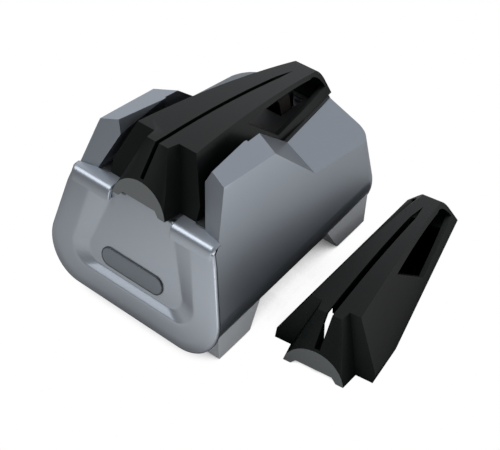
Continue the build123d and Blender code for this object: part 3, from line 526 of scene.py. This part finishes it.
rim = bmesh.new()
rim_steps = ((0, -0.2), (0, 0.9), (0.15, 1.15), (0.4, 1.2), (0.75, 1.15), (0.9, 0.95), (0.9, -0.2), (0, -0.2))
joined_rings(rim, [badge_ring(*step) for step in rim_steps], closed=True)
badge_rim = mesh_piece("badge_rim", rim, closed=True)
shown(badge_rim, "machine", "badge_plastic", rim_black)
face = bmesh.new()
face_steps = ((0.85, 0.0), (0.85, 0.95), (1.3, 1.0))
face_rows = joined_rings(face, [badge_ring(*step) for step in face_steps], closed=True)
face.faces.new(face_rows[0])
face.faces.new(face_rows[-1])
badge_face = mesh_piece("badge_face", face, closed=True)
shown(badge_face, "machine", "badge_plastic", badge_dark, "fascia_badge")

# ---- Guides
# Two hollow guides in black glass-filled nylon with a matte spark-eroded surface. One sits on the machine,
# the other, for a flatter sharpening angle, stands on the table beside it.
# the second tone, #494b4b, is a painted reflection for the arched end faces below
guide_nylon = moulded_plastic("black_glass_filled_nylon", "#020403", "#060908", 0.4, 0.8, 0.3, gloss=0.16,
                              painted_reflection="#494b4b")
end_face_area = 60 * mm * mm
end_face_tilt = -0.9
for name, body in (("knife_guide", "seated_guide"), ("spare_guide", "loose_guide")):
    guide = moulded(name, 0.6 * mm, 22)
    # the arched end face takes the paler tone: a painted reflection of the white table in front of it
    mark = guide.data.attributes.new("painted_reflection_face", "FLOAT", "FACE")
    end_face = min((face for face in guide.data.polygons
                    if face.area > end_face_area and face.normal.y < end_face_tilt),
                   key=lambda face: face.center.y)
    mark.data[end_face.index].value = 1.0
    shown(guide, body, "guide_plastic", guide_nylon, name)


# ---- Belt tray and base plate
# The tray is a thin black ABS liner on the deck under the seated guide. The base plate closes the housing
# underneath. Both are plain mouldings with a coarse matte texture, as are the motor's cradle and the posts.
def coat(material, *names):
    """Gives this material to CAD nodes that are shown as they are."""
    for name in names:
        nodes[name].data.materials.clear()
        nodes[name].data.materials.append(material)


liner_abs = moulded_plastic("black_textured_abs", "#0e0f10", "#141516", 0.6, 0.7, 0.3)
shown(moulded("belt_tray", 0.3 * mm), "machine", "base_plastic", liner_abs, "belt_tray")
shown(moulded("base_plate", 0.4 * mm), "machine", "base_plastic", liner_abs, "base_plate")
coat(liner_abs, "motor_cradle", "board_standoffs")

# ---- Feet
# Four mouldings in neutral grey ABS that carry the body clear of the table.
foot_abs = moulded_plastic("grey_foot_abs", "#949698", "#9c9ea0", 0.55, 0.9, 0.15)
for end in ("front", "rear"):
    for hand in ("left", "right"):
        foot = f"{end}_{hand}_foot"
        shown(moulded(foot, 0.8 * mm), "machine", "foot_plastic", foot_abs, foot)

# ---- Foot pads
# Black rubber pads under the feet, moulded with cross ribs that grip the table.
pad_rubber = moulded_plastic("black_moulded_rubber", "#141414", "#1a1a1a", 0.8, 0.7, 0.3)


def node_group(name, sizes):
    """An empty Geometry Nodes tree with one named input for each size. Returns it and its input node."""
    group = bpy.data.node_groups.new(name, "GeometryNodeTree")
    for label, kind in sizes:
        group.interface.new_socket(label, in_out="INPUT", socket_type=kind)
    group.interface.new_socket("Geometry", in_out="OUTPUT", socket_type="NodeSocketGeometry")
    return group, put(group, "NodeGroupInput")


def end_group(group, geometry, material):
    """Ends a tree: instances made real, with their material."""
    real = put(group, "GeometryNodeRealizeInstances", {"Geometry": geometry})
    coated = put(group, "GeometryNodeSetMaterial", {"Geometry": real.outputs[0], "Material": material})
    put(group, "NodeGroupOutput", {"Geometry": coated.outputs[0]})


def grown(name, group, values):
    """A plain mesh piece made by a Geometry Nodes tree with these input values."""
    carrier = bpy.data.objects.new(name + "_maker", bpy.data.meshes.new(name + "_maker"))
    bpy.context.scene.collection.objects.link(carrier)
    maker = carrier.modifiers.new("maker", "NODES")
    maker.node_group = group
    for item in group.interface.items_tree:
        if item.in_out == "INPUT" and item.name in values:
            maker[item.identifier] = values[item.name]
    carrier.update_tag()
    graph = bpy.context.evaluated_depsgraph_get()
    mesh = bpy.data.meshes.new_from_object(carrier.evaluated_get(graph), depsgraph=graph)
    bpy.data.objects.remove(carrier)
    made = bpy.data.objects.new(name, mesh)
    bpy.context.scene.collection.objects.link(made)
    return made


ribbed, given = node_group("pad_ribs", (("Centre", "NodeSocketVector"), ("Plate", "NodeSocketVector"),
                                        ("Rib", "NodeSocketVector"), ("Ribs", "NodeSocketInt"),
                                        ("First", "NodeSocketVector"), ("Step", "NodeSocketVector")))
plate = put(ribbed, "GeometryNodeMeshCube", {"Size": given.outputs["Plate"]})
placed = put(ribbed, "GeometryNodeTransform",
             {"Geometry": plate.outputs["Mesh"], "Translation": given.outputs["Centre"]})
row = put(ribbed, "GeometryNodeMeshLine", {"Count": given.outputs["Ribs"],
                                           "Start Location": given.outputs["First"],
                                           "Offset": given.outputs["Step"]})
rib = put(ribbed, "GeometryNodeMeshCube", {"Size": given.outputs["Rib"]})
ribs = put(ribbed, "GeometryNodeInstanceOnPoints",
           {"Points": row.outputs[0], "Instance": rib.outputs["Mesh"]})
both = put(ribbed, "GeometryNodeJoinGeometry")
ribbed.links.new(placed.outputs[0], both.inputs[0])
ribbed.links.new(ribs.outputs[0], both.inputs[0])
end_group(ribbed, both.outputs[0], pad_rubber)
rib_high = 0.6 * mm
rib_pitch = 2.4 * mm
for end in ("front", "rear"):
    for hand in ("left", "right"):
        pad = f"{end}_{hand}_pad"
        low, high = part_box(pad)
        size = high - low
        count = int(size.y / rib_pitch)
        made = grown(pad + "_ribbed", ribbed, {
            "Centre": ((low.x + high.x) / 2, (low.y + high.y) / 2, (rib_high + high.z) / 2),
            "Plate": (size.x, size.y, high.z - rib_high),
            "Rib": (size.x, rib_pitch / 2, 2 * rib_high),
            "Ribs": count,
            "First": ((low.x + high.x) / 2, (low.y + high.y - (count - 1) * rib_pitch) / 2, rib_high),
            "Step": (0, rib_pitch, 0)})
        shown(made, "machine", "pad_rubber", pad_rubber, pad)


# ---- Base screws
# Four zinc-plated steel pan-head screws with a hexagon socket hold the drive frame through the base plate.
wave_scale = 314                   # of a wave texture whose bands are 1 mm apart


def metal(name, low, high, roughness, turned_mm=0.0):
    """Bare metal: bright, slightly uneven, with fine turning rings across the machine's axis if turned."""
    made, tree, place = new_material(name)
    drift = put(tree, "ShaderNodeTexNoise",
                {"Vector": place.outputs["Object"], "Scale": 60.0, "Detail": 3.0})
    tone = put(tree, "ShaderNodeMix",
               {"Factor": drift.outputs["Fac"], "A": linear(low), "B": linear(high)}, data_type="RGBA")
    if turned_mm:
        rings = put(tree, "ShaderNodeTexWave",
                    {"Vector": place.outputs["Object"], "Scale": wave_scale / turned_mm, "Distortion": 0.4},
                    bands_direction="Y").outputs["Fac"]
    else:
        rings = put(tree, "ShaderNodeTexNoise",
                    {"Vector": place.outputs["Object"], "Scale": 1400.0}).outputs["Fac"]
    relief = put(tree, "ShaderNodeBump", {"Height": rings, "Strength": 0.15, "Distance": 0.0001})
    sheen = put(tree, "ShaderNodeMapRange",
                {"Value": drift.outputs["Fac"], "To Min": roughness - 0.05, "To Max": roughness + 0.08})
    surface = put(tree, "ShaderNodeBsdfPrincipled",
                  {"Base Color": tone.outputs["Result"], "Roughness": sheen.outputs[0],
                   "Normal": relief.outputs[0], "Metallic": 1.0})
    put(tree, "ShaderNodeOutputMaterial", {"Surface": surface.outputs[0]})
    return made


zinc_steel = metal("zinc_plated_steel", "#a9abb0", "#c1c3c6", 0.32)
low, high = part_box("base_screws")
head_radius = 2.9 * mm
screws, given = node_group("screws", (
    ("Middle", "NodeSocketVector"), ("Across", "NodeSocketFloat"), ("Along", "NodeSocketFloat"),
    ("Head radius", "NodeSocketFloat"), ("Head height", "NodeSocketFloat"),
    ("Shank radius", "NodeSocketFloat"), ("Shank length", "NodeSocketFloat"),
    ("Socket radius", "NodeSocketFloat")))
grid = put(screws, "GeometryNodeMeshGrid",
           {"Size X": given.outputs["Across"], "Size Y": given.outputs["Along"],
            "Vertices X": 2, "Vertices Y": 2})
head = put(screws, "GeometryNodeMeshCylinder", {"Vertices": 32, "Radius": given.outputs["Head radius"],
                                                "Depth": given.outputs["Head height"]})
socket = put(screws, "GeometryNodeMeshCylinder", {"Vertices": 6, "Radius": given.outputs["Socket radius"],
                                                  "Depth": given.outputs["Head height"]})
half_down = maths(screws, "MULTIPLY", given.outputs["Head height"], -0.5)
sunk = put(screws, "ShaderNodeCombineXYZ", {"Z": half_down})
socket_low = put(screws, "GeometryNodeTransform",
                 {"Geometry": socket.outputs["Mesh"], "Translation": sunk.outputs[0]})
drilled = put(screws, "GeometryNodeMeshBoolean", {"Mesh 1": head.outputs["Mesh"]}, operation="DIFFERENCE")
screws.links.new(socket_low.outputs[0], drilled.inputs["Mesh 2"])
shank = put(screws, "GeometryNodeMeshCylinder", {"Vertices": 24, "Radius": given.outputs["Shank radius"],
                                                 "Depth": given.outputs["Shank length"]})
half_up = maths(screws, "MULTIPLY", given.outputs["Shank length"], 0.5)
raised = put(screws, "ShaderNodeCombineXYZ", {"Z": half_up})
shank_high = put(screws, "GeometryNodeTransform",
                 {"Geometry": shank.outputs["Mesh"], "Translation": raised.outputs[0]})
screw = put(screws, "GeometryNodeJoinGeometry")
screws.links.new(drilled.outputs[0], screw.inputs[0])
screws.links.new(shank_high.outputs[0], screw.inputs[0])
set_out = put(screws, "GeometryNodeInstanceOnPoints",
              {"Points": grid.outputs[0], "Instance": screw.outputs[0]})
moved = put(screws, "GeometryNodeTransform",
            {"Geometry": set_out.outputs[0], "Translation": given.outputs["Middle"]})
end_group(screws, moved.outputs[0], zinc_steel)
head_high = 2.0 * mm
made = grown("base_screw_set", screws, {
    "Middle": ((low.x + high.x) / 2, (low.y + high.y) / 2, low.z + head_high / 2),
    "Across": high.x - low.x - 2 * head_radius, "Along": high.y - low.y - 2 * head_radius,
    "Head radius": head_radius, "Head height": head_high, "Shank radius": 1.5 * mm,
    "Shank length": high.z - low.z - head_high / 2, "Socket radius": 1.5 * mm})
shown(made, "machine", "bright_steel", zinc_steel, "base_screws")

# ---- Drive frame
# Die-cast aluminium, bead blasted to an even matte grey: two plates and the feet that the screws hold.
cast_aluminium = metal("blasted_cast_aluminium", "#9b9da0", "#aeb0b2", 0.5)
shown(moulded("drive_frame", 0.3 * mm, 25, 2), "machine", "frame_aluminium", cast_aluminium, "drive_frame")

# ---- Bearings, shaft and spring
# Ground and turned steel: two bushes, the motor's shaft and the wire spring under the arm.
ground_steel = metal("ground_steel", "#8d8f93", "#a6a8ab", 0.25, 0.8)
coat(ground_steel, "front_bearing", "rear_bearing", "drive_shaft", "tension_spring")

# ---- Motor
# A small universal motor: a painted steel can, its end cap and fan in black nylon, and the armature. The
# drive wheel on its shaft is rubber.
motor_paint = moulded_plastic("black_motor_enamel", "#1b1c1e", "#232427", 0.35, 1.2, 0.1)
laminations = metal("stacked_iron_laminations", "#55575a", "#6b6d70", 0.45, 1.4)
black_nylon = moulded_plastic("black_moulded_nylon", "#0b0b0c", "#101011", 0.4, 0.7, 0.1)
coat(motor_paint, "motor_can")
coat(laminations, "motor_armature")
coat(black_nylon, "motor_end_cap", "motor_fan")
coat(pad_rubber, "drive_wheel")

# ---- Tension arm, idler and axle
# The sliding arm and the small wheel that the belt runs over are satin aluminium in painted shade, near
# black.
# The wheel turns on a headed steel pin with a black oxide finish, which is thin and slightly glossy.
# near-black tone: painted shade, so the arm and wheel look as dark as the shade under the guide
painted_shade_aluminium = metal("aluminium_painted_dark_as_shade", "#101112", "#18191a", 0.45)
oxide_steel = metal("black_oxide_steel", "#131314", "#1c1c1e", 0.35)
for name, body in (("tension_arm", "arm"), ("idler_wheel", "idler")):
    shown(moulded(name, 0.3 * mm, 25, 2), body, "frame_aluminium", painted_shade_aluminium, name)
coat(oxide_steel, "idler_axle")


# ---- Abrasive belt
# A narrow cloth belt coated with brown aluminium oxide grit. The grit shows as a coarse dark speckle.
def grit_cloth():
    """Brown grit in resin on cloth: matte, speckled, and rough at the size of the grains."""
    made, tree, place = new_material("aluminium_oxide_belt_cloth")
    grains = put(tree, "ShaderNodeTexVoronoi", {"Vector": place.outputs["Object"], "Scale": 2200.0})
    # the browns are painted very dark: painted shade for the shade the belt lies in under the guide
    tone = put(tree, "ShaderNodeMix", {"Factor": grains.outputs["Distance"], "A": linear("#1d1512"),
                                       "B": linear("#0c0908")}, data_type="RGBA")
    relief = put(tree, "ShaderNodeBump",
                 {"Height": grains.outputs["Distance"], "Strength": 0.8, "Distance": 0.0002})
    surface = put(tree, "ShaderNodeBsdfPrincipled", {"Base Color": tone.outputs["Result"], "Roughness": 0.85,
                                                     "Normal": relief.outputs[0]})
    put(tree, "ShaderNodeOutputMaterial", {"Surface": surface.outputs[0]})
    return made


coat(grit_cloth(), "abrasive_belt")

# ---- Switch and power inlet
# A rocker switch in a snap-in bezel and a round socket, in glossy black nylon, in the back wall.
switch_nylon = moulded_plastic("glossy_black_nylon", "#0a0a0b", "#0e0e0f", 0.22, 0.6, 0.03)
shown(moulded("switch_bezel", 0.5 * mm), "machine", "switch_plastic", switch_nylon, "switch_bezel")
shown(moulded("rocker_switch", 0.5 * mm, 22), "rocker", "switch_plastic", switch_nylon, "rocker_switch")
shown(moulded("power_inlet", 0.4 * mm, 22), "machine", "switch_plastic", switch_nylon, "power_inlet")

# ---- Circuit board
# A glass-epoxy board with green solder mask, on four posts.
solder_mask = moulded_plastic("green_solder_mask", "#0d3a1c", "#12482a", 0.3, 0.5, 0.05)
coat(solder_mask, "circuit_board")
